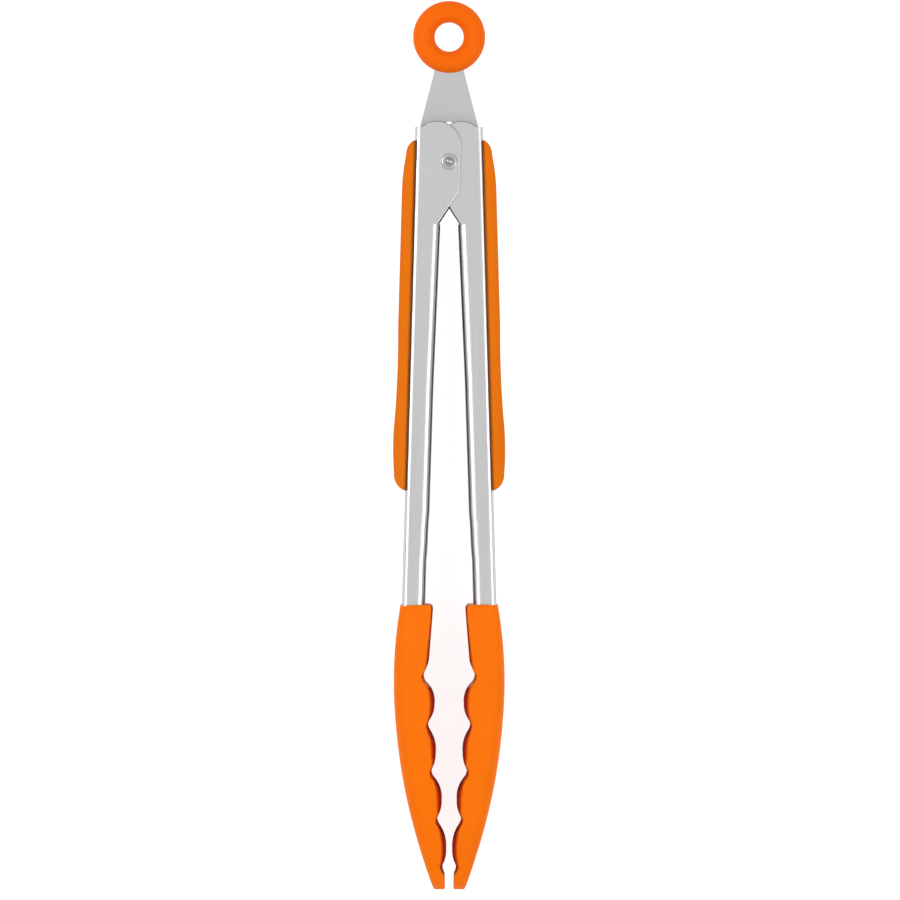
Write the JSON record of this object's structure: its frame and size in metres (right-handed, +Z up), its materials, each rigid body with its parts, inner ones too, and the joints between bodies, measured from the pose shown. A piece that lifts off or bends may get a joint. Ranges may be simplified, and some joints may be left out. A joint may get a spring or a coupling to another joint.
{
  "type": "spring loaded kitchen tongs",
  "caption": "Locking kitchen tongs with brushed steel channel arms, orange grip pads, scalloped silicone tips and a pull ring that locks them shut.",
  "frame": {"origin": "centre of the bounding box on the table, with the tongs lying flat", "axes": "+Z up along the pivot rivet, +Y along the arms from the tips to the pull ring, +X to the right across the arms"},
  "size_m": [0.0404, 0.3212, 0.036],
  "materials": {
    "arm_steel": "brushed along the arm",
    "tab_steel": "fine brushed",
    "rivet_steel": "polished",
    "spring_steel": "drawn wire",
    "grip_pad": "matte soft-touch",
    "soft_tip": "satin silicone",
    "soft_ring": "satin silicone"
  },
  "bodies": {
    "pivot": {"pivot_rivet": "rivet_steel", "front_spring": "spring_steel", "rear_spring": "spring_steel"},
    "left_arm": {"left_arm": "arm_steel", "left_grip": "grip_pad", "left_tip": "soft_tip"},
    "right_arm": {"right_arm": "arm_steel", "right_grip": "grip_pad", "right_tip": "soft_tip"},
    "pull_tab": {"pull_tab": "tab_steel", "ring_grip": "soft_ring"}
  },
  "joints": [
    {"name": "left_arm_open", "type": "hinge", "parent": "pivot", "child": "left_arm", "pos_m": [0, 0.102, 0.018], "axis": [0, 0, -1], "range_deg": [0, 13], "stiffness_Nm_per_rad": 0.5, "springref_deg": 20.05, "deforming": ["front_spring", "rear_spring"]},
    {"name": "right_arm_open", "type": "hinge", "parent": "pivot", "child": "right_arm", "pos_m": [0, 0.102, 0.018], "axis": [0, 0, 1], "range_deg": [0, 13], "stiffness_Nm_per_rad": 0.5, "springref_deg": 20.05},
    {"name": "tab_slide", "type": "slide", "parent": "pivot", "child": "pull_tab", "axis": [0, -1, 0], "range_m": [0, 0.013]}
  ],
  "couplings": [
    {"joint": "right_arm_open", "follows": "left_arm_open", "ratio": 1},
    {"joint": "tab_slide", "follows": "left_arm_open", "m_per_rad": 0.057296}
  ]
}
